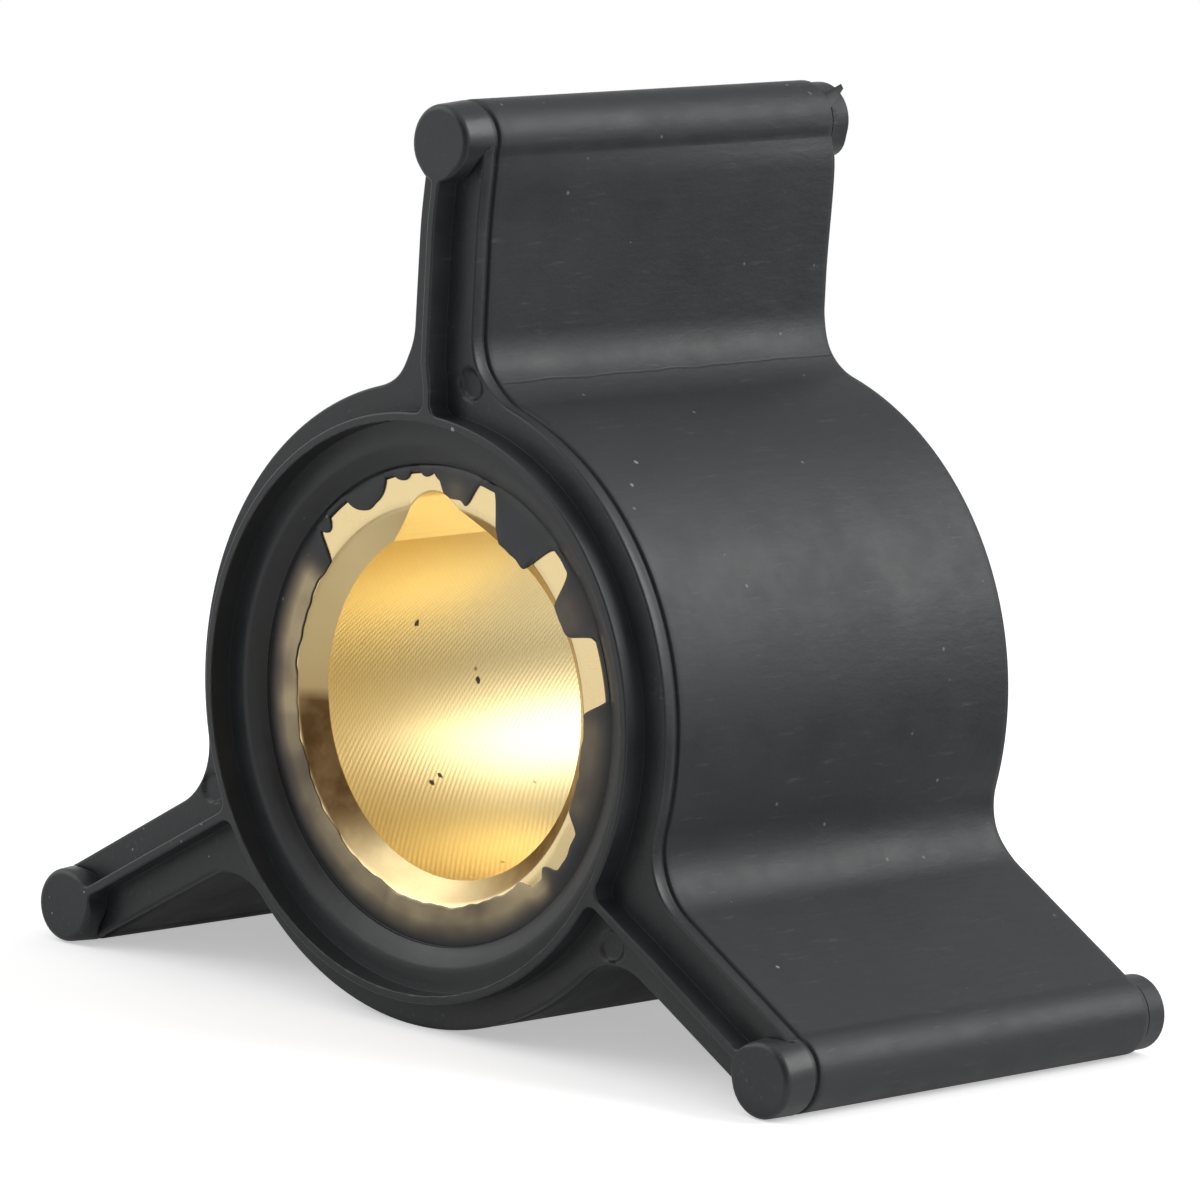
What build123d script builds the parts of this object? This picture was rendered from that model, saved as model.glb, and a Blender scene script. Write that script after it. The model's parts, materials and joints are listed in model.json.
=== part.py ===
"""Water pump impeller: three rubber vanes on a hub, moulded round a keyed brass bush."""

from build123d import *
import os
from math import hypot, sqrt

os.makedirs("parts", exist_ok=True)

# Frame: the shaft axis is Y, the front end faces -Y and one vane points straight up (+Z).
# The origin is on the shaft axis at mid length. Plane.XZ looks out of the front end,
# so a level on it is a distance from mid length toward the front.

# Lengths along the shaft
length = 20.16
rim_height = 0.92
edge_band = 0.5
groove_width = 0.24
groove_depth = 0.12
back_step = 0.1

# Brass bush: bore, bevels, keyway with sloping sides and a round floor, fluted outside
bore_r = 6.35
bush_wall = 2.0
bush_sink = 1.38
bore_bevel_width = 0.85
bore_bevel_depth = 0.75
key_turn = 5.5
key_mouth = 5.7
key_point = 1.76
key_floor_r = 1.4
flute_count = 12
flute_r = 1.0
flute_depth = 0.38
bond_gap = 0.01

# Recess in each end of the hub, from the bush out to the lip
seat_ledge = 0.31
slope_width = 0.69
slope_drop = 0.34
floor_width = 0.91

# Raised sealing rim on each end: lip round the hub, rib along each vane, disc on each tip
lip_width = 0.32
rib_width = 0.34
disc_r = 1.37
disc_foot_r = 1.45
rim_edge_bevel = 0.07

# Hub shoulder, vanes and tip beads
hub_shoulder = 1.02
vane_count = 3
vane_reach = 8.65
vane_root_half = 1.54
vane_tip_half = 1.42
bead_r = 1.47
root_fillet = 2.5
neck_fillet = 1.2
front_edge_bevel = 0.08

# Ejector pin marks beside each vane root
pin_mark_r = 0.55
pin_mark_depth = 0.12
pin_mark_out = 0.15
pin_mark_side = 1.33

# Radii from the shaft axis, each from the one inside it
bush_r = bore_r + bush_wall
key_mouth_out = sqrt(bore_r**2 - (key_mouth / 2) ** 2)
flute_centre_r = bush_r - flute_depth + flute_r
slope_inner_r = bush_r + seat_ledge
floor_inner_r = slope_inner_r + slope_width
lip_inner_r = floor_inner_r + floor_width
lip_r = lip_inner_r + lip_width
hub_r = lip_r + hub_shoulder
tip_centre_r = hub_r + vane_reach

# Levels, as distances from mid length
top_level = length / 2
base_level = top_level - rim_height
groove_top = base_level - edge_band
groove_bottom = groove_top - groove_width
slope_level = base_level - slope_drop
bush_level = top_level - bush_sink


def distance_out(corner):
    """Distance of a sketch corner from the shaft axis."""
    return hypot(corner.X, corner.Y)


def vane_outline(level, inset, tip_r):
    """Hub, tapered vanes and round tips in one outline, drawn smaller all round by the inset.

    Tips wider than the vane blend into it through a fillet on each side.
    """
    round_r = hub_r - inset
    root_half = vane_root_half - inset
    tip_half = vane_tip_half - inset
    with BuildSketch(Plane.XZ.offset(level)) as outline:
        Circle(round_r)
        with PolarLocations(0, vane_count, start_angle=90):
            Polygon(
                (0, -root_half),
                (tip_centre_r, -tip_half),
                (tip_centre_r, tip_half),
                (0, root_half),
                align=None,
            )
        root_corners = outline.vertices().filter_by(
            lambda corner: abs(distance_out(corner) - round_r) < 0.01
        )
        fillet(root_corners, radius=root_fillet + inset)
        with PolarLocations(tip_centre_r, vane_count, start_angle=90):
            Circle(tip_r - inset)
        if tip_r > vane_tip_half:
            neck_corners = outline.vertices().filter_by(
                lambda corner: tip_centre_r - tip_r < distance_out(corner) < tip_centre_r
            )
            fillet(neck_corners, radius=neck_fillet + inset)
    return outline.sketch


def bush_outline(grow):
    """Round bush with shallow round flutes down its outside, drawn larger by grow."""
    with BuildSketch(Plane.XZ.offset(-bush_level)) as outline:
        Circle(bush_r + grow)
        with PolarLocations(flute_centre_r, flute_count, start_angle=90):
            Circle(flute_r - grow, mode=Mode.SUBTRACT)
    return outline.sketch


def bore_outline():
    """Round bore with the keyway, whose two sides slope from its mouth to a round floor."""
    with BuildSketch(Plane.XZ.offset(-bush_level)) as outline:
        with PolarLocations(0, 1, start_angle=90 + key_turn):
            Polygon(
                (0, 0),
                (key_mouth_out, -key_mouth / 2),
                (bore_r + key_point, 0),
                (key_mouth_out, key_mouth / 2),
                align=None,
            )
        fillet(outline.vertices().sort_by(distance_out)[-1], radius=key_floor_r)
        Circle(bore_r)
    return outline.sketch


# Rubber body: front edge band, parting groove, main length and stepped back edge
with BuildPart() as rubber_body:
    extrude(vane_outline(groove_top, 0, vane_tip_half), amount=edge_band)
    front_outline = rubber_body.faces().sort_by(Axis.Y)[0].edges()
    chamfer(front_outline, length=front_edge_bevel)
    extrude(vane_outline(groove_bottom, groove_depth, bead_r), amount=groove_width)
    main_length = groove_bottom + base_level - back_step
    extrude(vane_outline(back_step - base_level, 0, bead_r), amount=main_length)
    extrude(vane_outline(-base_level, groove_depth, bead_r), amount=back_step)

    # Raised rim on the front: its discs widen down to the groove and its top edges are eased
    with BuildSketch(Plane.XZ.offset(base_level)) as rim:
        with PolarLocations((lip_r + tip_centre_r) / 2, vane_count, start_angle=90):
            Rectangle(tip_centre_r - lip_r + lip_width, rib_width)
        Circle(lip_r)
        Circle(lip_inner_r, mode=Mode.SUBTRACT)
        with PolarLocations(tip_centre_r, vane_count, start_angle=90):
            Circle(disc_r)
    extrude(amount=rim_height)
    with Locations(Plane.XZ.offset(groove_top)):
        with PolarLocations(tip_centre_r, vane_count, start_angle=90):
            Cone(
                disc_foot_r,
                disc_r,
                edge_band + rim_height,
                align=(Align.CENTER, Align.CENTER, Align.MIN),
            )
    front_rim_edges = rubber_body.faces().sort_by(Axis.Y)[0].edges()
    chamfer(front_rim_edges, length=rim_edge_bevel)

    # The same rim on the back
    with BuildSketch(Plane.XZ.offset(-base_level)):
        add(rim.sketch_local)
    extrude(amount=-rim_height)
    back_rim_edges = rubber_body.faces().sort_by(Axis.Y)[-1].edges()
    chamfer(back_rim_edges, length=rim_edge_bevel)

    # Sloped recess down to the bush at both ends
    with BuildSketch(Plane.XY):
        Polygon(
            (0, -top_level),
            (floor_inner_r, -top_level),
            (floor_inner_r, -base_level),
            (slope_inner_r, -slope_level),
            (slope_inner_r, -bush_level),
            (0, -bush_level),
            align=None,
        )
        mirror(about=Plane.XZ)
    revolve(axis=Axis.Y, mode=Mode.SUBTRACT)

    # Ejector pin marks beside the vane roots on the front
    with BuildSketch(Plane.XZ.offset(base_level)):
        with PolarLocations(0, vane_count, start_angle=90):
            with Locations((hub_r + pin_mark_out, -pin_mark_side)):
                Circle(pin_mark_r)
    extrude(amount=-pin_mark_depth, mode=Mode.SUBTRACT)

    # Seat moulded round the bush
    extrude(bush_outline(bond_gap), amount=2 * bush_level, mode=Mode.SUBTRACT)

# Brass bush: fluted outside, keyed bore, both mouths bevelled
with BuildPart() as brass_bush:
    extrude(bush_outline(0), amount=2 * bush_level)
    extrude(bore_outline(), amount=2 * bush_level, mode=Mode.SUBTRACT)
    with BuildSketch(Plane.XY):
        Polygon(
            (0, -bush_level),
            (bore_r + bore_bevel_width, -bush_level),
            (bore_r, -bush_level + bore_bevel_depth),
            (0, -bush_level + bore_bevel_depth),
            align=None,
        )
        mirror(about=Plane.XZ)
    revolve(axis=Axis.Y, mode=Mode.SUBTRACT)

rubber_body.part.label = "rubber_body"
brass_bush.part.label = "brass_bush"

export_step(rubber_body.part, "parts/rubber_body.step")
export_step(brass_bush.part, "parts/brass_bush.step")
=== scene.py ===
"""Rubber water pump impeller with a bonded brass bush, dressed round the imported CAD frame.

Shapes are worked out in millimetres as numpy arrays and written to meshes in metres. The shaft axis is Y,
the front end faces -Y and one vane points up along Z. Outlines are drawn in the XZ plane.
"""
import json
import math

import bmesh
import bpy
import numpy as np
from mathutils import Matrix, Vector


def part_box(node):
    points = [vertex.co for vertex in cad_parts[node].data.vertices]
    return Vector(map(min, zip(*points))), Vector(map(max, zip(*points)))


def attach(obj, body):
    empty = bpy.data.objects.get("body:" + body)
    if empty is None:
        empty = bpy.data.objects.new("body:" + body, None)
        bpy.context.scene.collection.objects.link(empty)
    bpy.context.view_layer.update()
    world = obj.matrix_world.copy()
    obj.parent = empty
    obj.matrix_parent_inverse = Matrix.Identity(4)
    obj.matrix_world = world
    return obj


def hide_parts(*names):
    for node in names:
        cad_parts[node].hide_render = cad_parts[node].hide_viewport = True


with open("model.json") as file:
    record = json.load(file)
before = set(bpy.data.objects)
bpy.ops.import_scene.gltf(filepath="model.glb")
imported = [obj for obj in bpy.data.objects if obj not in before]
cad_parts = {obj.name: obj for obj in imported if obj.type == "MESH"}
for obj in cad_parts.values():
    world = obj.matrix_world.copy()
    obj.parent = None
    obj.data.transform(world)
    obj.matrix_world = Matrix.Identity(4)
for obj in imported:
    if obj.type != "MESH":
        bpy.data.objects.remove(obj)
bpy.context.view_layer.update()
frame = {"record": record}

MM = 0.001
FULL_TURN = 2 * math.pi

# Sizes in mm, the overall ones from the frame
rubber_low, rubber_high = np.array(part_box("rubber_body")) / MM
bush_high = np.array(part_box("brass_bush"))[1] / MM
mounts = {mount["name"]: mount for mount in frame["record"]["mounts"]}
top_level = rubber_high[1]
bush_level = bush_high[1]
bore_r = mounts["shaft_bore"]["dims"]["r_mm"]
tip_centre = mounts["front_seal_face"]["pos_m"][2] / MM

# Hub, vanes and tip beads; the slack keeps the beads just inside the CAD mesh
vane_ways = np.radians((90.0, 210.0, 330.0))
hub_r = 11.6
root_half = 1.54
tip_half = 1.42
mesh_slack = 0.004
bead_r = rubber_high[2] - tip_centre - mesh_slack
root_round = 2.5
neck_round = 1.2

# Samples along one side of a vane: hub arc, root fillet, side, neck fillet and the two parts of the tip arc
hub_steps, root_steps, side_steps, neck_steps = 22, 30, 18, 7
tip_steps = (9, 12)

# Raised rim, recess and edge details on both ends
rim_height = 0.92
lip_r = 10.58
lip_inner_r = 10.26
rib_half = 0.17
disc_r = 1.37
disc_foot_r = 1.45
rib_root_round = 0.45
rib_neck_round = 0.25
rim_edge = 0.08
disc_edge = 0.24
lip_edge = 0.05
rim_foot = 0.012
floor_inner_r = 9.35
slope_inner_r = 8.66
slope_drop = 0.34
front_edge = 0.1
edge_band = 0.5
groove_width = 0.24
groove_depth = 0.12
back_step = 0.1
base_level = top_level - rim_height
slope_level = base_level - slope_drop
groove_top = base_level - edge_band
groove_bottom = groove_top - groove_width

# Ejector pin marks on the front, beside each vane root
pin_out = hub_r + 0.15
pin_side = 1.33
pin_r = 0.55
pin_depth = 0.12

# Brass bush
bush_r = 8.35
bevel_width = 0.85
bevel_depth = 0.75
mouth_r = bore_r + bevel_width
brass_edge = 0.04
flute_count = 12
flute_r = 1.0
flute_depth = 0.38
flute_centre = bush_r - flute_depth + flute_r
bond_gap = 0.01

# Tool marks in the bore: chatter waves in a turn, their spacing and the feed along the shaft
chatter_waves = 165
chatter_pitch = 0.26
feed_pitch = 0.13
facing_pitch = 0.15

# Keyway: two sides slope from its mouth to a round floor
key_way = math.radians(95.5)
key_mouth_half = 2.85
key_point = bore_r + 1.76
key_floor_r = 1.4
key_slope = math.atan2(key_mouth_half, key_point - math.sqrt(bore_r ** 2 - key_mouth_half ** 2))
key_side = key_point * math.sin(key_slope)
key_floor_centre = key_point - key_floor_r / math.sin(key_slope)

# Mould joint line at the root of the upright vane: its height, and its start and end across the vane
joint_z = 11.96
joint_start, joint_end = 1.2, 3.5

# Rubber flash on the brass face, by angle in degrees: bare bays (middle, half width, radius at which the
# flash ends), round tongues across them (middle, half width, tip radius) and thin parts (middle, half
# width, thinness). Round the middle angle of the lifted part its edge stands off the brass.
flash_reach = 7.2
flash_least_r = 6.65
flash_thickness = 0.045
flash_bays = (
    (116.5, 24.0, 8.5), (87.0, 4.0, 7.5), (76.5, 4.5, 8.4), (61.0, 8.0, 6.75), (46.5, 5.5, 8.3),
    (34.0, 5.0, 7.0), (17.5, 9.0, 8.5), (-32.0, 8.0, 7.95), (-46.0, 4.0, 7.7),
)
tongue_root_r = 8.5
flash_tongues = ((119.5, 7.6, 7.64), (106.0, 3.0, 8.1), (97.0, 2.5, 8.2), (137.0, 2.5, 8.0))
flash_films = (
    (171.0, 22.0, 0.85), (222.0, 34.0, 0.7), (285.0, 32.0, 0.85), (352.0, 14.0, 0.45), (34.0, 5.0, 0.4),
    (87.0, 3.0, 0.35),
)
flash_lifted = 163.0

# Torn tab on the back edge of the upright bead: middle and half width in degrees, and its pull
tab_turn = 36.8
tab_half_width = 12.0
tab_pull = (0.1, 1.0, 0.74)

# Loose crumbs in the bore, and on the rubber pale specks, dust grains, tears whose hollows get painted shade,
# and scuffs, (x, y, z)
bore_crumbs = ((-6.13, -3.74, 1.65), (-6.30, -0.23, -0.80), (-5.04, -3.28, -3.86), (-4.89, -3.83, -4.05))
pale_specks = (
    (6.63, -6.12, 9.52), (7.45, -7.14, 8.89), (15.10, -6.61, -7.01), (1.41, -10.08, 10.23),
    (10.8, -9.8, 1.7),
)
dust_grains = (
    (-18.35, -10.08, -10.0), (-18.17, -10.08, -10.57), (-14.96, -9.16, -7.71), (-14.41, -9.16, -6.84),
    (-11.43, -10.08, -6.72), (-10.42, -10.08, -5.92), (-10.9, -9.16, -7.29), (-16.49, -10.08, -9.48),
)
shaded_tears = (
    (-16.62, -9.95, -9.0), (-16.45, -9.85, -9.15), (-16.3, -9.7, -9.3), (1.2, 9.28, 20.72), (1.22, 9.2, 20.9),
    (1.24, 9.32, 20.5),
)
scuffs = (
    (0.1, 7.1, 21.72), (0.35, 7.5, 21.68), (0.6, 7.9, 21.6), (0.9, 8.3, 21.4), (1.15, 8.6, 21.15),
)


# ---------------------------------------------------------------- mesh helpers


def strips(ring_count, samples, first=0, looped=False):
    """Quads between neighbouring rings of equal sample count; each ring closes on itself.

    Quad (r, s) joins samples s and s + 1 of rings r and r + 1. Looped also joins the last ring to the first.
    """
    ring = np.arange(ring_count if looped else ring_count - 1)[:, None]
    step = np.arange(samples)[None, :]
    after = (ring + 1) % ring_count
    across = (step + 1) % samples
    quads = [ring * samples + step, ring * samples + across, after * samples + across, after * samples + step]
    return (np.stack(quads, axis=-1).reshape(-1, 4) + first).tolist()


def new_piece(name, points, faces, material, sharp=38.0, marks=None):
    """Mesh object from points in mm: doubles merged, faces pointing out, smooth up to the sharp angle.

    Marks are named values per point, which the material reads.
    """
    mesh = bpy.data.meshes.new(name)
    mesh.from_pydata((np.asarray(points) * MM).tolist(), [], faces)
    for mark, values in (marks or {}).items():
        layer = mesh.attributes.new(mark, "FLOAT", "POINT")
        layer.data.foreach_set("value", np.asarray(values, dtype=np.float32))
    shell = bmesh.new()
    shell.from_mesh(mesh)
    bmesh.ops.remove_doubles(shell, verts=shell.verts, dist=1e-8)
    bmesh.ops.recalc_face_normals(shell, faces=shell.faces)
    shell.to_mesh(mesh)
    shell.free()
    mesh.polygons.foreach_set("use_smooth", np.ones(len(mesh.polygons), dtype=bool))
    mesh.set_sharp_from_angle(angle=math.radians(sharp))
    piece = bpy.data.objects.new(name, mesh)
    bpy.context.scene.collection.objects.link(piece)
    mesh.materials.append(material)
    return piece


def even_shading(piece):
    """Lets the broad faces set the shading, so that only the rounded edges turn."""
    weighting = piece.modifiers.new("even_shading", "WEIGHTED_NORMAL")
    weighting.keep_sharp = True
    weighting.weight = 80


def place(outline, level):
    """Outline points (x, z) as a ring at one level along the shaft."""
    return np.stack([outline[:, 0], np.full(len(outline), level), outline[:, 1]], axis=1)


def quarter(count):
    """Even steps over a quarter turn, for rounded edges."""
    return np.linspace(0, math.pi / 2, count)


def ease(share):
    """Smooth step: 0 up to 0, 1 from 1 on, 3 s^2 - 2 s^3 between."""
    share = np.clip(share, 0, 1)
    return share * share * (3 - 2 * share)


# ---------------------------------------------------------------- outlines


def arc(centre, radius, start, end, count, outward):
    """Arc points centre + radius * (cos a, sin a), and normals along or against that direction."""
    turn = np.linspace(start, end, count)
    way = np.stack([np.cos(turn), np.sin(turn)], axis=1)
    return centre + radius * way, way * outward


def vane_side(hub, root, tip_width, root_fillet, neck_fillet, tip):
    """One side of one vane in (out, sideways) from midway between two vanes to the vane's end.

    Hub arc, concave root fillet, straight tapered side, concave neck fillet, tip arc. Each fillet's centre
    lies its radius off the side line and its radius off the circle that it joins.
    """
    run = math.hypot(tip_centre, root - tip_width)
    along = np.array([tip_centre, tip_width - root]) / run
    away = np.array([root - tip_width, tip_centre]) / run
    rise = root * tip_centre / run
    tip_point = np.array([tip_centre, 0.0])
    tip_along, tip_away = tip_point @ along, tip_point @ away
    root_run = math.sqrt((hub + root_fillet) ** 2 - (rise + root_fillet) ** 2)
    neck_run = math.sqrt((tip + neck_fillet) ** 2 - (rise + neck_fillet - tip_away) ** 2)
    root_middle = along * root_run + away * (rise + root_fillet)
    neck_middle = along * (tip_along - neck_run) + away * (rise + neck_fillet)
    root_turn = math.atan2(root_middle[1], root_middle[0])
    down = math.atan2(away[1], away[0]) - math.pi
    to_tip = tip_point - neck_middle
    neck_end = math.atan2(to_tip[1], to_tip[0])
    origin = np.zeros(2)
    parts = [
        arc(origin, hub, math.pi / 3, root_turn, hub_steps, 1),
        arc(root_middle, root_fillet, root_turn - math.pi, down, root_steps, -1),
    ]
    share = np.linspace(0, 1, side_steps)[:, None]
    side_start, side_end = root_middle - away * root_fillet, neck_middle - away * neck_fillet
    side_normals = np.repeat(away[None, :], side_steps, axis=0)
    parts.append((side_start + (side_end - side_start) * share, side_normals))
    parts.append(arc(neck_middle, neck_fillet, down, neck_end, neck_steps, -1))
    parts.append(arc(tip_point, tip, neck_end + math.pi, math.pi / 2, tip_steps[0], 1))
    parts.append(arc(tip_point, tip, math.pi / 2, 0, tip_steps[1], 1))
    spots = np.concatenate([part[0][(index > 0):] for index, part in enumerate(parts)])
    normals = np.concatenate([part[1][(index > 0):] for index, part in enumerate(parts)])
    return spots, normals


def star(hub, root, tip_width, root_fillet, neck_fillet, tip):
    """Closed outline of hub and vanes as (points, outward normals) in (x, z).

    It runs counter-clockwise from 30 degrees: a vane's side and its mirror image, once for each vane.
    """
    spots, normals = vane_side(hub, root, tip_width, root_fillet, neck_fillet, tip)
    flip = np.array([1, -1])
    one = np.concatenate([spots, (spots * flip)[-2:0:-1]])
    one_normals = np.concatenate([normals, (normals * flip)[-2:0:-1]])
    turned = []
    for way in vane_ways:
        axes = np.array([[math.cos(way), math.sin(way)], [math.sin(way), -math.cos(way)]])
        turned.append((one @ axes, one_normals @ axes))
    return np.concatenate([t[0] for t in turned]), np.concatenate([t[1] for t in turned])


def tip_shares(rise):
    """Per sample of a star: 0 up to the tip arc, rising to 1 over the arc's first samples, 1 beyond.

    Neighbouring stretches share one sample, so each adds one less than its steps after the first.
    """
    before = hub_steps + root_steps + side_steps + neck_steps - 3
    on_tip = sum(tip_steps) - len(tip_steps)
    side = np.concatenate([np.zeros(before), ease(np.arange(1, on_tip + 1) / rise)])
    return np.tile(np.concatenate([side, side[-2:0:-1]]), len(vane_ways))


def round_ring(radius, turns, level):
    """Ring of one radius, or of one radius per angle, at a level."""
    return np.stack([radius * np.cos(turns), np.full(len(turns), level), radius * np.sin(turns)], axis=1)


def fluted(turns, grow=0.0):
    """Bush outside: radius r = c cos a - sqrt(f^2 - c^2 sin^2 a) inside a flute, else the full radius."""
    pitch = FULL_TURN / flute_count
    offset = (turns - vane_ways[0] + pitch / 2) % pitch - pitch / 2
    inside = np.clip((flute_r - grow) ** 2 - (flute_centre * np.sin(offset)) ** 2, 0, None)
    flute = flute_centre * np.cos(offset) - np.sqrt(inside)
    return np.where(inside > 0, np.minimum(flute, bush_r + grow), bush_r + grow)


# ---------------------------------------------------------------- materials


def linear(code):
    """sRGB hex colour as linear RGBA."""
    value = np.array([int(code[index:index + 2], 16) for index in (1, 3, 5)]) / 255
    value = np.where(value <= 0.04045, value / 12.92, ((value + 0.055) / 1.055) ** 2.4)
    return (*value.tolist(), 1.0)


def node(tree, kind, inputs=None, output=None, **settings):
    """Adds a node, applies its settings, then sets or links its inputs.

    Returns the named output, or else the first one that is enabled.
    """
    made = tree.nodes.new(kind)
    for key, value in settings.items():
        setattr(made, key, value)
    for key, value in (inputs or {}).items():
        if isinstance(value, bpy.types.NodeSocket):
            tree.links.new(value, made.inputs[key])
        else:
            made.inputs[key].default_value = value
    if output:
        return made.outputs[output]
    shown = [socket for socket in made.outputs if socket.enabled]
    return shown[0] if shown else made


def new_material(name):
    """Empty node material: returns it with its tree and its Object coordinates."""
    material = bpy.data.materials.new(name)
    material.use_nodes = True
    tree = material.node_tree
    tree.nodes.clear()
    coordinates = tree.nodes.new("ShaderNodeTexCoord").outputs["Object"]
    return material, tree, coordinates


def near(tree, spot, places, radius, ragged):
    """Mask that is 1 within a radius of any of the places, all in mm, with an edge made ragged by noise."""
    stirred = node(tree, "ShaderNodeTexNoise", {"Vector": spot, "Scale": 6000.0, "Detail": 2.0})
    mask = 0.0
    for place_mm in places:
        centre = tuple(value * MM for value in place_mm)
        apart = node(tree, "ShaderNodeVectorMath", {0: spot, 1: centre}, "Value", operation="DISTANCE")
        apart = node(tree, "ShaderNodeMath", {0: stirred, 1: ragged * MM, 2: apart}, operation="MULTIPLY_ADD")
        edge = (radius + ragged / 2) * MM
        inside = node(tree, "ShaderNodeMapRange", {0: apart, 1: edge * 0.8, 2: edge, 3: 1.0, 4: 0.0})
        mask = node(tree, "ShaderNodeMath", {0: inside, 1: mask}, operation="MAXIMUM")
    return mask


def moulded_rubber():
    """Black nitrile rubber, compression moulded: a matt grey-black skin with faint streaks and pale rubbed
    dashes along the shaft, fine mottling from the mould and sparse dull dust. Thin flash looks brown."""
    material, tree, spot = new_material("moulded_nitrile_rubber")

    # Streaks are about 0.12 mm across and 3 mm long; mottling is 0.1 mm, patches 2.5 mm
    parts = tree.nodes.new("ShaderNodeSeparateXYZ")
    tree.links.new(spot, parts.inputs[0])
    stretched = node(tree, "ShaderNodeMapping", {"Vector": spot, "Scale": (1.0, 0.04, 1.0)})
    streaks = node(tree, "ShaderNodeTexNoise", {"Vector": stretched, "Scale": 6000.0, "Detail": 3.0})
    mottle = node(tree, "ShaderNodeTexNoise", {"Vector": spot, "Scale": 9000.0, "Detail": 3.0})
    rubbed = node(tree, "ShaderNodeMapping", {"Vector": spot, "Scale": (1.0, 0.4, 1.0)})
    rubbed = node(
        tree, "ShaderNodeTexNoise", {"Vector": rubbed, "Scale": 2600.0, "Detail": 4.0, "Roughness": 0.6}
    )
    coarse = node(tree, "ShaderNodeMapRange", {0: parts.outputs["Y"], 1: -0.006, 2: 0.008, 3: 2.0, 4: 5.5})
    patches = node(
        tree, "ShaderNodeTexNoise", {"Vector": spot, "Scale": 420.0, "Detail": 5.0, "Roughness": 0.6}
    )

    # Dashes are about 0.1 mm across and 1.5 mm long, where the patches are worn and outside the lip
    dashed = node(tree, "ShaderNodeMapping", {"Vector": spot, "Scale": (1.0, 0.12, 1.0)})
    dashes = node(
        tree, "ShaderNodeTexNoise", {"Vector": dashed, "Scale": 5200.0, "Detail": 4.0, "Roughness": 0.6}
    )
    dashes = node(tree, "ShaderNodeMapRange", {0: dashes, 1: 0.6, 2: 0.76, 3: 0.0, 4: 0.17})
    worn = node(tree, "ShaderNodeMapRange", {0: patches, 1: 0.42, 2: 0.62, 3: 0.15, 4: 1.0})
    dashes = node(tree, "ShaderNodeMath", {0: dashes, 1: worn}, operation="MULTIPLY")
    flat = node(tree, "ShaderNodeVectorMath", {0: spot, 1: (1, 0, 1)}, operation="MULTIPLY")
    outside = node(tree, "ShaderNodeVectorMath", {0: flat}, "Value", operation="LENGTH")
    outside = node(tree, "ShaderNodeMath", {0: outside, 1: (lip_r + 0.2) * MM}, operation="GREATER_THAN")
    dashes = node(tree, "ShaderNodeMath", {0: dashes, 1: outside}, operation="MULTIPLY")

    # Dust: grains 0.15 and 0.08 mm wide in a few of the cells, which are 0.95 and 0.35 mm apart
    specks = 0.0
    for scale, low, high, rare in ((1050.0, 0.04, 0.09, 0.72), (2900.0, 0.06, 0.13, 0.93)):
        cells = node(tree, "ShaderNodeTexVoronoi", {"Vector": spot, "Scale": scale})
        chance = cells.node.outputs["Color"]
        kept = node(tree, "ShaderNodeMath", {0: chance, 1: rare}, operation="GREATER_THAN")
        grain = node(tree, "ShaderNodeMapRange", {0: cells, 1: low, 2: high, 3: 0.55, 4: 0.0})
        grain = node(tree, "ShaderNodeMath", {0: grain, 1: kept}, operation="MULTIPLY")
        specks = node(tree, "ShaderNodeMath", {0: grain, 1: specks}, operation="MAXIMUM")
    pale = near(tree, spot, pale_specks, 0.09, 0.1)
    grains = near(tree, spot, dust_grains, 0.04, 0.08)
    pale = node(tree, "ShaderNodeMath", {0: pale, 1: grains}, operation="MAXIMUM")
    scuffed = near(tree, spot, scuffs, 0.06, 0.7)
    pale = node(
        tree, "ShaderNodeMath", {0: scuffed, 1: 0.45, 2: pale}, operation="MULTIPLY_ADD", use_clamp=True
    )
    specks = node(tree, "ShaderNodeMath", {0: specks, 1: pale}, operation="MAXIMUM")
    marks = node(tree, "ShaderNodeMath", {0: specks, 1: dashes}, operation="MAXIMUM")

    # Mould joint line along the shaft, 0.05 mm wide and wavy, behind the groove
    wave = node(tree, "ShaderNodeMath", {0: patches, 1: 0.00022}, operation="MULTIPLY")
    rise = node(tree, "ShaderNodeMath", {0: parts.outputs["Z"], 1: wave}, operation="ADD")
    above = node(tree, "ShaderNodeMath", {0: rise, 1: joint_z * MM}, operation="SUBTRACT")
    above = node(tree, "ShaderNodeMath", {0: above}, operation="ABSOLUTE")
    joint = node(tree, "ShaderNodeMapRange", {0: above, 1: 0.00001, 2: 0.00005, 3: 1.0, 4: 0.0})
    behind = node(tree, "ShaderNodeMapRange", {0: parts.outputs["Y"], 1: -groove_bottom * MM, 2: -0.0081})
    joint = node(tree, "ShaderNodeMath", {0: joint, 1: behind}, operation="MULTIPLY")
    starts = {0: parts.outputs["X"], 1: joint_start * MM, 2: (joint_start + 0.2) * MM}
    right = node(tree, "ShaderNodeMapRange", starts)
    ends = {0: parts.outputs["X"], 1: (joint_end - 0.2) * MM, 2: joint_end * MM, 3: 1.0, 4: 0.0}
    near_root = node(tree, "ShaderNodeMapRange", ends)
    joint = node(tree, "ShaderNodeMath", {0: joint, 1: right}, operation="MULTIPLY")
    joint = node(tree, "ShaderNodeMath", {0: joint, 1: near_root}, operation="MULTIPLY")

    # Skin colour by patches, darker in the joint line, painted shade in the tears' hollows, paler at the
    # marks
    base = node(
        tree, "ShaderNodeMix", {0: patches, 6: linear("#1e2022"), 7: linear("#2a2c2e")}, data_type="RGBA"
    )
    # Painted shade: near-black spots where the tears leave small hollows
    tear_shade = near(tree, spot, shaded_tears, 0.12, 0.3)
    dark = node(tree, "ShaderNodeMath", {0: joint, 1: tear_shade}, operation="MAXIMUM")
    base = node(tree, "ShaderNodeMix", {0: dark, 6: base, 7: linear("#0c0d0e")}, data_type="RGBA")
    marked = node(tree, "ShaderNodeMix", {0: marks, 6: base, 7: linear("#85868a")}, data_type="RGBA")

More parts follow.
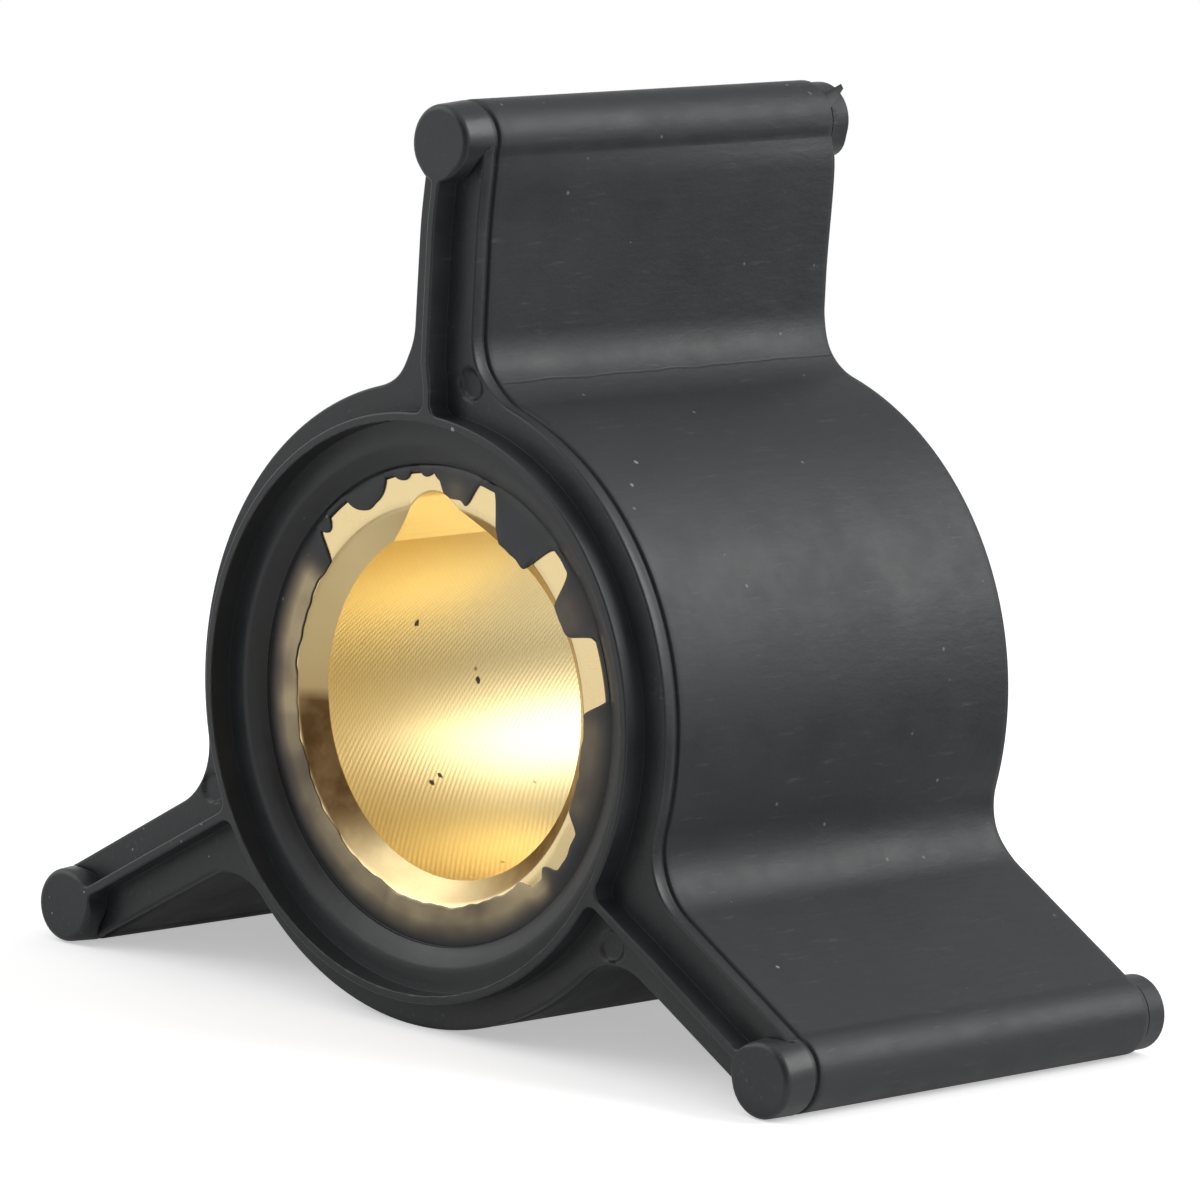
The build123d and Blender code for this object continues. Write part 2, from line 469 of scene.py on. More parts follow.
    # The front edge band has been rubbed smoother than the rest
    polished = node(
        tree, "ShaderNodeMapRange", {0: parts.outputs["Y"], 1: -0.0084, 2: -0.0088, 3: 0.0, 4: -0.12}
    )
    roughness = node(tree, "ShaderNodeMapRange", {0: patches, 1: 0.3, 2: 0.7, 3: 0.42, 4: 0.56})
    roughness = node(tree, "ShaderNodeMath", {0: roughness, 1: polished}, operation="ADD")

    # Flash thin enough to let brass through: brown, with olive patches of 1 mm where it is thinnest
    thin = node(tree, "ShaderNodeAttribute", attribute_name="thin_flash")
    cloud = node(tree, "ShaderNodeTexNoise", {"Vector": spot, "Scale": 420.0, "Detail": 2.0})
    torn = node(tree, "ShaderNodeMapRange", {0: cloud, 1: 0.25, 2: 0.6})
    torn = node(tree, "ShaderNodeMath", {0: torn, 1: thin}, operation="MULTIPLY")
    film = node(
        tree, "ShaderNodeMix", {0: torn, 6: linear("#605448"), 7: linear("#c2b08a")}, data_type="RGBA"
    )
    colour = node(tree, "ShaderNodeMix", {0: thin, 6: marked, 7: film}, data_type="RGBA")
    shine = node(tree, "ShaderNodeMath", {0: thin, 1: 0.6}, operation="MULTIPLY")

    relief = node(tree, "ShaderNodeMath", {0: streaks, 1: 0.6, 2: mottle}, operation="MULTIPLY_ADD")
    relief = node(tree, "ShaderNodeMath", {0: rubbed, 1: coarse, 2: relief}, operation="MULTIPLY_ADD")
    relief = node(tree, "ShaderNodeMath", {0: dark, 1: -2.0, 2: relief}, operation="MULTIPLY_ADD")
    bump = node(tree, "ShaderNodeBump", {"Height": relief, "Distance": 0.000006, "Strength": 0.6})
    look = {"Base Color": colour, "Metallic": shine, "Roughness": roughness, "Normal": bump}
    shader = node(tree, "ShaderNodeBsdfPrincipled", {**look, "IOR": 1.5, "Specular IOR Level": 0.4})
    node(tree, "ShaderNodeOutputMaterial", {"Surface": shader})
    return material


def turned_brass():
    """Free-cutting brass, turned on a lathe: pale satin end faces, duller bevels with a painted dark-brown
    reflection low down, a bore of deeper gold with slanting chatter marks, and keyway walls streaked along
    the shaft."""
    material, tree, spot = new_material("turned_brass")
    parts = tree.nodes.new("ShaderNodeSeparateXYZ")
    tree.links.new(spot, parts.inputs[0])
    x, along, z = (parts.outputs[axis] for axis in "XYZ")
    bored = node(tree, "ShaderNodeAttribute", attribute_name="bored")
    keyed = node(tree, "ShaderNodeAttribute", attribute_name="keyed")
    inward = node(tree, "ShaderNodeMath", {0: along}, operation="ABSOLUTE")
    face_end, bevel_start = (bush_level - 0.02) * MM, (bush_level - 0.06) * MM
    inward = node(tree, "ShaderNodeMapRange", {0: inward, 1: face_end, 2: bevel_start})
    around = node(tree, "ShaderNodeMath", {0: z, 1: x}, operation="ARCTAN2")
    fine = node(tree, "ShaderNodeTexNoise", {"Vector": spot, "Scale": 9000.0, "Detail": 2.0})
    patches = node(tree, "ShaderNodeTexNoise", {"Vector": spot, "Scale": 500.0, "Detail": 4.0})

    # Bore: chatter slants because its waves drift with the feed, whose rings cross it
    drift = node(tree, "ShaderNodeMath", {0: around, 1: float(chatter_waves)}, operation="MULTIPLY")
    chatter_rate = FULL_TURN / (chatter_pitch * MM)
    chatter = node(tree, "ShaderNodeMath", {0: along, 1: chatter_rate, 2: drift}, operation="MULTIPLY_ADD")
    chatter = node(tree, "ShaderNodeMath", {0: chatter}, operation="SINE")
    feed = node(tree, "ShaderNodeMath", {0: along, 1: FULL_TURN / (feed_pitch * MM)}, operation="MULTIPLY")
    feed = node(tree, "ShaderNodeMath", {0: feed}, operation="SINE")
    bore_relief = node(tree, "ShaderNodeMath", {0: feed, 1: 0.3, 2: chatter}, operation="MULTIPLY_ADD")

    # Keyway: streaks 0.1 mm across along the shaft; faces and bevels: rings one facing pitch apart
    stretched = node(tree, "ShaderNodeMapping", {"Vector": spot, "Scale": (1.0, 0.03, 1.0)})
    broached = node(tree, "ShaderNodeTexNoise", {"Vector": stretched, "Scale": 5000.0, "Detail": 3.0})
    broached = node(tree, "ShaderNodeMath", {0: broached, 1: 5.0}, operation="MULTIPLY")
    flat = node(tree, "ShaderNodeVectorMath", {0: spot, 1: (1, 0, 1)}, operation="MULTIPLY")
    faced = node(tree, "ShaderNodeVectorMath", {0: flat}, "Value", operation="LENGTH")
    faced = node(tree, "ShaderNodeMath", {0: faced, 1: FULL_TURN / (facing_pitch * MM)}, operation="MULTIPLY")
    faced = node(tree, "ShaderNodeMath", {0: faced}, operation="SINE")
    faced = node(tree, "ShaderNodeMath", {0: faced, 1: 0.15}, operation="MULTIPLY")
    relief = node(tree, "ShaderNodeMix", {0: bored, 2: faced, 3: bore_relief})
    relief = node(tree, "ShaderNodeMix", {0: keyed, 2: relief, 3: broached})
    relief = node(tree, "ShaderNodeMath", {0: fine, 1: 0.8, 2: relief}, operation="MULTIPLY_ADD")
    bump = node(tree, "ShaderNodeBump", {"Height": relief, "Distance": 0.0000018, "Strength": 1.0})

    # Painted dark-brown reflection on the open bevels, mostly in the lower half
    upper_edge = node(tree, "ShaderNodeMapRange", {0: z, 1: -0.0004, 2: -0.0009})
    low = node(tree, "ShaderNodeMapRange", {0: z, 1: -0.0062, 2: -0.0045, 3: 0.3, 4: 1.0})
    low = node(tree, "ShaderNodeMath", {0: low, 1: upper_edge}, operation="MULTIPLY")
    cloud = node(tree, "ShaderNodeTexNoise", {"Vector": spot, "Scale": 900.0, "Detail": 3.0})
    cloud = node(tree, "ShaderNodeMapRange", {0: cloud, 1: 0.2, 2: 0.6, 3: 0.4, 4: 0.9})
    painted_bevel_reflection = node(tree, "ShaderNodeMath", {0: cloud, 1: low}, operation="MULTIPLY")
    open_bevel = node(tree, "ShaderNodeMath", {0: 1.0, 1: bored}, operation="SUBTRACT")
    open_bevel = node(tree, "ShaderNodeMath", {0: inward, 1: open_bevel}, operation="MULTIPLY")
    painted_bevel_reflection = node(tree, "ShaderNodeMath", {0: painted_bevel_reflection, 1: open_bevel}, operation="MULTIPLY")

    # Crumbs of rubber: the larger ones, and small ones in a few of the cells, which are 1.25 mm apart
    crumbs = near(tree, spot, bore_crumbs, 0.14, 0.2)
    cells = node(tree, "ShaderNodeTexVoronoi", {"Vector": spot, "Scale": 800.0})
    kept = node(tree, "ShaderNodeMath", {0: cells.node.outputs["Color"], 1: 0.62}, operation="GREATER_THAN")
    grain = node(tree, "ShaderNodeMapRange", {0: cells, 1: 0.04, 2: 0.09, 3: 0.7, 4: 0.0})
    grain = node(tree, "ShaderNodeMath", {0: grain, 1: kept}, operation="MULTIPLY")
    crumbs = node(tree, "ShaderNodeMath", {0: crumbs, 1: grain}, operation="MAXIMUM")

    # Paler bare brass outside, deeper gold in the bore, darker along the chatter and feed marks, then the
    # painted bevel reflection and crumbs
    bare = node(
        tree, "ShaderNodeMix", {0: patches, 6: linear("#ead09a"), 7: linear("#f0dca8")}, data_type="RGBA"
    )
    gold = node(tree, "ShaderNodeMix", {0: bored, 6: bare, 7: linear("#f3dfa8")}, data_type="RGBA")
    # Darker gold along the chatter and feed marks: partly the marks' own tone, partly painted shade of their
    # relief
    chatter_tone_and_shade = node(tree, "ShaderNodeMath", {0: chatter, 1: 0.5, 2: 0.5}, operation="MULTIPLY_ADD")
    feed_shade = node(tree, "ShaderNodeMath", {0: feed, 1: 0.25, 2: 0.75}, operation="MULTIPLY_ADD")
    chatter_tone_and_shade = node(tree, "ShaderNodeMath", {0: chatter_tone_and_shade, 1: feed_shade}, operation="MULTIPLY")
    round_bore = node(tree, "ShaderNodeMath", {0: bored, 1: keyed}, operation="SUBTRACT")
    chatter_tone_and_shade = node(tree, "ShaderNodeMath", {0: chatter_tone_and_shade, 1: round_bore}, operation="MULTIPLY")
    chatter_tone_and_shade = node(tree, "ShaderNodeMath", {0: chatter_tone_and_shade, 1: 0.2}, operation="MULTIPLY")
    gold = node(tree, "ShaderNodeMix", {0: chatter_tone_and_shade, 6: gold, 7: linear("#b08c4c")}, data_type="RGBA")
    # Painted dark-brown reflection mixed over the gold on the bevels
    gold_with_reflection = node(tree, "ShaderNodeMix", {0: painted_bevel_reflection, 6: gold, 7: linear("#7a5c38")}, data_type="RGBA")
    colour = node(tree, "ShaderNodeMix", {0: crumbs, 6: gold_with_reflection, 7: linear("#2c2620")}, data_type="RGBA")
    roughness = node(tree, "ShaderNodeMapRange", {0: patches, 1: 0.3, 2: 0.7, 3: 0.22, 4: 0.34})
    roughness = node(tree, "ShaderNodeMix", {0: inward, 2: roughness, 3: 0.36})
    roughness = node(tree, "ShaderNodeMix", {0: bored, 2: roughness, 3: 0.4})
    metal = node(tree, "ShaderNodeMath", {0: 1.0, 1: crumbs}, operation="SUBTRACT")
    shader = node(
        tree,
        "ShaderNodeBsdfPrincipled",
        {"Base Color": colour, "Roughness": roughness, "Normal": bump, "Metallic": metal},
    )
    node(tree, "ShaderNodeOutputMaterial", {"Surface": shader})
    return material


rubber = moulded_rubber()
brass = turned_brass()


# ---------------------------------------------------------------- rubber body


def outer_chain():
    """Rings from the front rim's top edge over the outside to the back rim's top edge.

    Each ring is an outline moved along its normals by an offset, at a level; on the two base faces the rings
    run evenly from the rim's foot to the outer edge. At the front of the tips the rings turn into a cone that
    widens from the disc's edge to the groove.
    """
    rim, rim_normals = star(lip_r, rib_half, rib_half, rib_root_round, rib_neck_round, disc_r)
    band, band_normals = star(hub_r, root_half, tip_half, root_round, neck_round, disc_foot_r)
    body, body_normals = star(hub_r, root_half, tip_half, root_round, neck_round, bead_r)

    def rim_ring(offset, level):
        return place(rim + rim_normals * offset, level)

    def band_ring(offset, level):
        return place(band + band_normals * offset, level)

    def body_ring(offset, level):
        return place(body + body_normals * offset, level)

    # Front: rounded rim edge, hollow at the rim's foot, base face with the pin marks, rounded outer edge
    front = []
    edge_steps = 7
    eased = (rim_edge + (disc_edge - rim_edge) * tip_shares(3))[:, None]
    for turn in quarter(edge_steps):
        front.append(rim_ring(-eased * (1 - math.sin(turn)), -top_level + eased[:, 0] * (1 - math.cos(turn))))
    for turn in quarter(4):
        front.append(rim_ring(rim_foot * (1 - math.cos(turn)), -base_level - rim_foot * (1 - math.sin(turn))))
    foot, edge = front[-1], band_ring(-front_edge, -base_level)
    for share in np.linspace(0, 1, 27)[1:-1]:
        front.append(press_pins(foot * (1 - share) + edge * share))
    for turn in quarter(edge_steps):
        level = -base_level + front_edge * (1 - math.cos(turn))
        front.append(band_ring(-front_edge * (1 - math.sin(turn)), level))
    front.append(band_ring(0, -groove_top - 0.05))
    front = np.array(front)

    # Cone on the tips, blended in over the tip arc
    below_edge = edge_steps - 1
    shares = np.linspace(0, 1, len(front) - below_edge)[:, None, None]
    ways = place(rim_normals, 0) * (1 - shares) + place(band_normals, 0) * shares
    ways /= np.linalg.norm(ways, axis=2, keepdims=True)
    tips = tip_centre * np.stack([np.cos(vane_ways), 0 * vane_ways, np.sin(vane_ways)], axis=1)
    tips = np.repeat(tips, len(rim) // len(vane_ways), axis=0)
    cone = tips + (disc_r + (disc_foot_r - disc_r) * shares) * ways
    start, end = -top_level + eased[:, 0], -groove_top - 0.05
    cone[..., 1] = start + (end - start) * shares[..., 0]
    weight = tip_shares(8)[None, :, None]
    front[below_edge:] = front[below_edge:] * (1 - weight) + cone * weight

    # Groove, main length, then the stepped back edge with the torn tab
    rings = list(front)
    rings += [band_ring(-0.02, -groove_top - 0.015), band_ring(-0.05, -groove_top)]
    rings.append(body_ring(-groove_depth, -groove_top + 0.03))
    groove = [(-groove_depth, -0.03), (-0.05, 0), (-0.02, 0.015), (0, 0.05)]
    rings += [body_ring(offset, -groove_bottom + step) for offset, step in groove]
    for level in np.linspace(-groove_bottom + 0.3, base_level - back_step - 0.3, 12):
        rings.append(body_ring(0, level))
    step_level = base_level - back_step
    edge_rings = [body_ring(offset, step_level - step) for offset, step in groove[::-1]]
    edge_rings[1:3] = [pull_tab(ring) for ring in edge_rings[1:3]]
    rings += edge_rings
    rings += [body_ring(-groove_depth - 0.01, base_level - 0.02), body_ring(-groove_depth - 0.04, base_level)]

    # Back base face and rim, whose edges are rounded half as much as the front's
    edge, foot = rings[-1], rim_ring(rim_foot, base_level)
    for share in np.linspace(0, 1, 8)[1:]:
        rings.append(edge * (1 - share) + foot * share)
    for turn in quarter(4)[-2::-1]:
        rings.append(rim_ring(rim_foot * (1 - math.cos(turn)), base_level + rim_foot * (1 - math.sin(turn))))
    eased = eased * 0.5
    for turn in quarter(edge_steps)[::-1]:
        rings.append(rim_ring(-eased * (1 - math.sin(turn)), top_level - eased[:, 0] * (1 - math.cos(turn))))
    return np.array(rings)


def pull_tab(ring):
    """Torn flash on the back edge of the upright bead: one narrow blunt tab 0.5 mm high, leaning back.

    The pull falls off evenly to both sides: 1 - |angle - middle| / half width.
    """
    side, up = ring[:, 0], ring[:, 2] - tip_centre
    turn = np.degrees(np.arctan2(up, side))
    share = np.clip(1 - np.abs(turn - tab_turn) / tab_half_width, 0, 1) * (ring[:, 2] > tip_centre)
    return ring + share[:, None] * np.array(tab_pull)


def press_pins(ring):
    """Pushes points of a base ring into the body inside the pin marks, by a smooth step at each edge."""
    pressed = ring.copy()
    for way in vane_ways:
        out, side = np.array([math.cos(way), math.sin(way)]), np.array([math.sin(way), -math.cos(way)])
        centre = out * pin_out + side * pin_side
        reach = np.hypot(ring[:, 0] - centre[0], ring[:, 2] - centre[1])
        pressed[:, 1] += pin_depth * ease((pin_r + 0.04 - reach) / 0.1)
    return pressed


def key_radius(offset, grow=0.0):
    """Keyway outline by angle from its middle: the floor's arc near the middle, the sloping sides beyond.

    Floor: r = c cos a + sqrt(f^2 - c^2 sin^2 a). Side: r = d / cos(|a| - 90 degrees + slope).
    """
    inside = np.clip((key_floor_r + grow) ** 2 - (key_floor_centre * np.sin(offset)) ** 2, 0, None)
    floor = key_floor_centre * np.cos(offset) + np.sqrt(inside)
    side = (key_side + grow) / np.cos(np.abs(offset) - math.pi / 2 + key_slope)
    run = key_floor_r / math.tan(key_slope)
    joint = math.atan2(run * math.sin(key_slope), key_point - run * math.cos(key_slope))
    return np.where(np.abs(offset) < joint, floor, side)


def apart(turns, middle):
    """Degrees between each angle and a middle angle."""
    return np.abs((np.degrees(turns) - middle + 180) % 360 - 180)


def flash_edge(turns):
    """How far in the flash reaches: to the bevel except in its bays, and not into the keyway.

    Bays ease in and out by smooth steps. A tongue is a half ellipse: r = root - (root - tip) sqrt(1 - s^2).
    """
    ragged = 0.035 * np.sin(turns * 17) + 0.025 * np.sin(turns * 31 + 1) + 0.012 * np.sin(turns * 67 + 2)
    reach = np.full(len(turns), flash_reach)
    for middle, half, end in flash_bays:
        reach += (end - flash_reach) * ease((half + 2.5 - apart(turns, middle)) / 5.0)
    for middle, half, tip in flash_tongues:
        bulge = np.sqrt(np.clip(1 - (apart(turns, middle) / half) ** 2, 0, 1))
        tongue = tongue_root_r - (tongue_root_r - tip) * bulge
        reach = np.where(bulge > 0, np.minimum(reach, tongue), reach)
    offset = (turns - key_way + math.pi) % FULL_TURN - math.pi
    over_key = np.abs(offset) < math.asin(key_mouth_half / bore_r)
    key_edge = np.where(over_key, key_radius(np.where(over_key, offset, 0)) + 0.04, 0)
    return np.clip(np.maximum(reach + ragged, key_edge), flash_least_r, fluted(turns, bond_gap) + 0.03)


def flash_thinness(turns):
    """How thin the flash is: 0 where it is opaque rubber, toward 1 where brass shows through."""
    thin = np.zeros(len(turns))
    for middle, half, amount in flash_films:
        thin = np.maximum(thin, amount * ease((half + 6 - apart(turns, middle)) / 10.0))
    return thin


def inner_chain(turns):
    """Rings from the front lip's inner top edge down the recess, along the bush seat and out of the back.

    The profile is (radius, level); the front ledge ends in the flash that lies on the brass face, and the
    seat's rings follow the fluted bush with the bond gap. Returns the rings and how thin the flash is on
    each.
    """
    profile = []
    for turn in quarter(5):
        across, down = lip_edge * (1 - math.sin(turn)), lip_edge * (1 - math.cos(turn))
        profile.append((lip_inner_r + across, top_level - down))
    for turn in quarter(4):
        across, up = rim_foot * (1 - math.cos(turn)), rim_foot * (1 - math.sin(turn))
        profile.append((lip_inner_r - across, base_level + up))
    profile += [(r, base_level) for r in (9.9, 9.6, floor_inner_r + 0.06)]
    profile += [(floor_inner_r - 0.03, base_level - 0.03), (9.0, slope_level + slope_drop / 2)]
    profile += [(slope_inner_r + 0.03, slope_level + 0.01), (slope_inner_r, slope_level - 0.03)]
    profile += [(slope_inner_r, bush_level + 0.02), (slope_inner_r - 0.02, bush_level)]
    wave = 0.01 * np.sin(37 * turns) + 0.008 * np.sin(83 * turns + 1) + 0.006 * np.sin(151 * turns + 2)
    waves = [wave] * 3 + [0 * wave] * (len(profile) - 3)
    rings = [round_ring(radius + uneven, turns, -level) for (radius, level), uneven in zip(profile, waves)]
    seat, flash, thin = fluted(turns, bond_gap), flash_edge(turns), flash_thinness(turns)
    thick = flash_thickness * (1.6 - 0.6 * thin)
    lifted = 1 - ease((20 - apart(turns, flash_lifted)) / 8)
    shown = [(slope_inner_r - 0.04, 0.2, 0), (slope_inner_r * 0.7 + flash * 0.3, 0.9, 0.45)]
    shown += [(slope_inner_r * 0.4 + flash * 0.6, 1.0, 1), (flash + 0.07, 1.0, 1)]
    shown += [(flash + 0.02, 0.8, lifted), (flash, 0.35, lifted)]
    thinness = [0 * thin] * len(rings)
    for radius, rise, part in shown:
        rings.append(round_ring(radius, turns, -bush_level - thick * rise))
        thinness.append(thin * part)
    rings.append(round_ring(flash + 0.005, turns, -bush_level - 0.003))
    rings.append(round_ring(seat + 0.001, turns, -bush_level - 0.003))
    rings.append(round_ring(seat, turns, -bush_level + 0.02))
    rings.append(round_ring(seat, turns, bush_level - 0.02))
    rings.append(round_ring(seat + 0.02, turns, bush_level))
    rings += [round_ring(radius, turns, level) for radius, level in profile[::-1]]
    thinness += [0 * thin] * (len(rings) - len(thinness))
    return np.array(rings), np.array(thinness)


def settle(points):
    """The vanes' set from use, each shift times smooth steps in the coordinates that bound it.

    The upright vane's front leans aside below its tip and its back the other way, the front discs of the
    lower two shift aside and sag, and the hub's back edge is drawn in.
    """
    moved = points.copy()
    x, y, z = points[:, 0], points[:, 1], points[:, 2]
    back = (y + top_level) / (2 * top_level)
    upright = ease((3.6 - np.abs(x)) / 1.4) * ease((z - 11.3) / 1.2)
    front_lean = 0.05 - 0.25 * ease((20.8 - z) / 4)
    back_lean = 0.15 * ease((z - 14.5) / 4) - 0.22 * ease((z - 19.0) / 0.9)
    moved[:, 0] += upright * (front_lean * (1 - back) + back_lean * back)
    moved[:, 1] += 0.06 * upright * ease((y - 7.5) / 1.2) * ease((9.9 - y) / 0.5) * ease((19.5 - z) / 1.0)
    out = np.hypot(x, z)
    moved[:, 1] -= 0.12 * ease((y - 7.5) / 1.2) * ease((13.2 - out) / 1.2) * ease((out - 10.8) / 0.6)
    for way, aside, down in ((vane_ways[1], -0.05, 0.05), (vane_ways[2], 0.075, 0.09)):
        out = x * math.cos(way) + z * math.sin(way)
        share = ease((out - 14) / 6) * np.clip((-y - 8.3) / 1.8, 0, 1)
        moved[:, 0] += share * aside
        moved[:, 2] -= share * down
    return moved


def rubber_skin():
    """Closed skin of the moulding: the outer and inner ring chains, joined by a flat rim top per vane."""
    outside = outer_chain()
    inner_samples, sectors = 900, len(vane_ways)
    turns = math.pi / 6 + np.arange(inner_samples) * FULL_TURN / inner_samples
    inside, thinness = inner_chain(turns)
    outer_samples = outside.shape[1]
    first_inside = outside.shape[0] * outer_samples
    faces = strips(outside.shape[0], outer_samples)
    faces += strips(inside.shape[0], inner_samples, first_inside)
    for outer_ring, inner_ring in ((0, 0), (outside.shape[0] - 1, inside.shape[0] - 1)):
        for sector in range(sectors):
            outer_part = np.arange(outer_samples // sectors + 1) + sector * outer_samples // sectors
            inner_part = np.arange(inner_samples // sectors + 1) + sector * inner_samples // sectors
            loop = list(outer_ring * outer_samples + outer_part % outer_samples)
            loop += list(first_inside + inner_ring * inner_samples + inner_part[::-1] % inner_samples)
            faces.append([int(index) for index in loop])
    points = np.concatenate([settle(outside.reshape(-1, 3)), inside.reshape(-1, 3)])
    thin = np.concatenate([np.zeros(first_inside), thinness.ravel()])
    piece = new_piece("rubber_skin", points, faces, rubber, marks={"thin_flash": thin})
    even_shading(piece)
    return piece


# ---------------------------------------------------------------- brass bush


def keyed_turns(round_r, grow=0.0):
    """Angles for a ring of the bore: even steps over the keyway, even steps over the rest, corners exact.

    A side line at distance d meets the ring of radius R at 90 degrees - slope - acos(d / R).
    """
    half = math.pi / 2 - key_slope - math.acos((key_side + grow) / round_r)
    key_steps, round_steps = 160, 560
    over_key = -half + 2 * half * np.arange(key_steps) / key_steps
    rest = half + (FULL_TURN - 2 * half) * np.arange(round_steps) / round_steps
    return np.concatenate([over_key, rest]), key_steps


def bore_ring(round_r, grow, level):
    """Bore outline: the keyway's outline over the keyway, round elsewhere."""
    offset, key_steps = keyed_turns(round_r, grow)
    radius = np.full(len(offset), float(round_r))
    radius[:key_steps] = key_radius(offset[:key_steps], grow)
    return round_ring(radius, offset + key_way, level)


def bush_skin():
    """Closed brass skin: fluted outside, faced ends, bevelled mouths and keyed bore, as one loop of rings."""
    offset, key_steps = keyed_turns(mouth_r)
    turns = offset + key_way
    outside = fluted(turns)
    half = [round_ring(outside, turns, bush_level - brass_edge)]
    half.append(round_ring(outside - brass_edge, turns, bush_level))
    rim = bore_ring(mouth_r + brass_edge, brass_edge, bush_level)
    for share in (0.25, 0.5, 0.75, 1.0):
        half.append(half[1] * (1 - share) + rim * share)
    first_bevel = len(half)
    for share in np.linspace(0.05, 1, 8):
        half.append(bore_ring(mouth_r - bevel_width * share, 0, bush_level - bevel_depth * share))
    face_rings = len(half)
    half.append(bore_ring(bore_r, 0, bush_level - bevel_depth - 0.04))
    half += [bore_ring(bore_r, 0, level) for level in np.linspace(bush_level - bevel_depth - 0.3, 0.4, 9)]
    back = np.array(half)
    rings = np.concatenate([back, (back * np.array([1, -1, 1]))[::-1]])
    bored = np.zeros(rings.shape[:2])
    bored[face_rings:-face_rings] = 1
    keyed = np.zeros(rings.shape[:2])
    keyed[first_bevel:-first_bevel, 1:key_steps] = 1
    faces = strips(len(rings), rings.shape[1], looped=True)
    marks = {"bored": bored.ravel(), "keyed": keyed.ravel()}
    piece = new_piece("bush_skin", rings.reshape(-1, 3), faces, brass, sharp=28.0, marks=marks)
    even_shading(piece)
    return piece


rubber_piece = rubber_skin()
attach(rubber_piece, "root")
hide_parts("rubber_body")

bush_piece = bush_skin()
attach(bush_piece, "root")
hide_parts("brass_bush")


# ---------------------------------------------------------------- floor, light and camera


def background_rays(tree):
    """1 for rays by which the camera, a mirror or glass sees the background, else 0."""
    path = tree.nodes.new("ShaderNodeLightPath")
    seen = path.outputs["Is Camera Ray"]
    for kind in ("Is Glossy Ray", "Is Transmission Ray"):
        seen = node(tree, "ShaderNodeMath", {0: seen, 1: path.outputs[kind]}, operation="MAXIMUM")
    return seen


def studio_floor():
    """Pale round floor under the lower tip beads: matt white near the object, plain white further out."""
    level, samples = rubber_low[2], 96
    turns = np.arange(samples) * FULL_TURN / samples
    radii = np.array([0.5, 20, 60, 120, 200, 400, 900, 2000])
    rings = radii[:, None, None] * np.stack([np.cos(turns), np.sin(turns), turns * 0], axis=1)[None]
    rings[..., 2] = level
    faces = strips(len(radii), samples) + [list(range(samples))]
    material, tree, spot = new_material("matt_white_paper")
    reach = node(tree, "ShaderNodeVectorMath", {0: spot}, "Value", operation="LENGTH")
    far = node(tree, "ShaderNodeMapRange", {0: reach, 1: 0.05, 2: 0.16, 3: 0.0, 4: 1.0})
    paper = node(tree, "ShaderNodeBsdfDiffuse", {"Color": linear("#f4f4f4")})
    path = tree.nodes.new("ShaderNodeLightPath")
    seen, mirrored = path.outputs["Is Camera Ray"], path.outputs["Is Glossy Ray"]
    lift = node(tree, "ShaderNodeMath", {0: mirrored, 1: 0.12}, operation="MULTIPLY")
    lift = node(tree, "ShaderNodeMath", {0: seen, 1: 0.45, 2: lift}, operation="MULTIPLY_ADD")
    lifted = node(tree, "ShaderNodeEmission", {"Color": (1, 1, 1, 1), "Strength": lift})
    paper = node(tree, "ShaderNodeAddShader", {0: paper, 1: lifted})
    plain = node(tree, "ShaderNodeEmission", {"Color": (1, 1, 1, 1), "Strength": 1.0})
    mixed = node(tree, "ShaderNodeMixShader", {0: far, 1: paper, 2: plain})
    node(tree, "ShaderNodeOutputMaterial", {"Surface": mixed})
    mesh = bpy.data.meshes.new("studio_floor")
    mesh.from_pydata((rings.reshape(-1, 3) * MM).tolist(), [], faces)
    floor = bpy.data.objects.new("studio_floor", mesh)
    bpy.context.scene.collection.objects.link(floor)
    mesh.materials.append(material)


def soft_light(name, way, distance, width, height, strength):
    """Area lamp in the given direction from the object, facing it."""
    lamp = bpy.data.lights.new(name, "AREA")
    lamp.shape = "RECTANGLE"
    lamp.size, lamp.size_y = width, height
    lamp.energy = strength
    holder = bpy.data.objects.new(name, lamp)
    way = Vector(way).normalized()
    turn = way.to_track_quat("Z", "Y").to_matrix().to_4x4()
    holder.matrix_world = Matrix.Translation(way * distance) @ turn
    bpy.context.scene.collection.objects.link(holder)
    holder.visible_camera = False


def dark_card(name, centre, facing, width, height, shade):
    """Dim card that only reflections see: it gives bright metal and glossy rubber their darker sides."""
    corners = [Vector((x * width / 2, y * height / 2, 0)) for x, y in ((-1, -1), (1, -1), (1, 1), (-1, 1))]
    turn = Vector(facing).to_track_quat("Z", "Y").to_matrix()
    mesh = bpy.data.meshes.new(name)
    mesh.from_pydata([turn @ corner + Vector(centre) for corner in corners], [], [(0, 1, 2, 3)])
    card = bpy.data.objects.new(name, mesh)
    bpy.context.scene.collection.objects.link(card)
    material, tree, spot = new_material(name + "_board")
    paper = node(tree, "ShaderNodeBsdfDiffuse", {"Color": linear(shade)})
    node(tree, "ShaderNodeOutputMaterial", {"Surface": paper})
    mesh.materials.append(material)
    card.visible_camera = card.visible_diffuse = card.visible_shadow = False


def studio_world():
    """White where the camera, mirrors and glass look, a dimmer even grey as light."""
    world = bpy.data.worlds.new("studio_world")
    bpy.context.scene.world = world
    world.use_nodes = True
    tree = world.node_tree
    tree.nodes.clear()
    strength = node(tree, "ShaderNodeMapRange", {0: background_rays(tree), 1: 0.0, 2: 1.0, 3: 0.55, 4: 1.0})
    glow = node(tree, "ShaderNodeBackground", {"Color": (1, 1, 1, 1), "Strength": strength})
    node(tree, "ShaderNodeOutputWorld", {"Surface": glow})


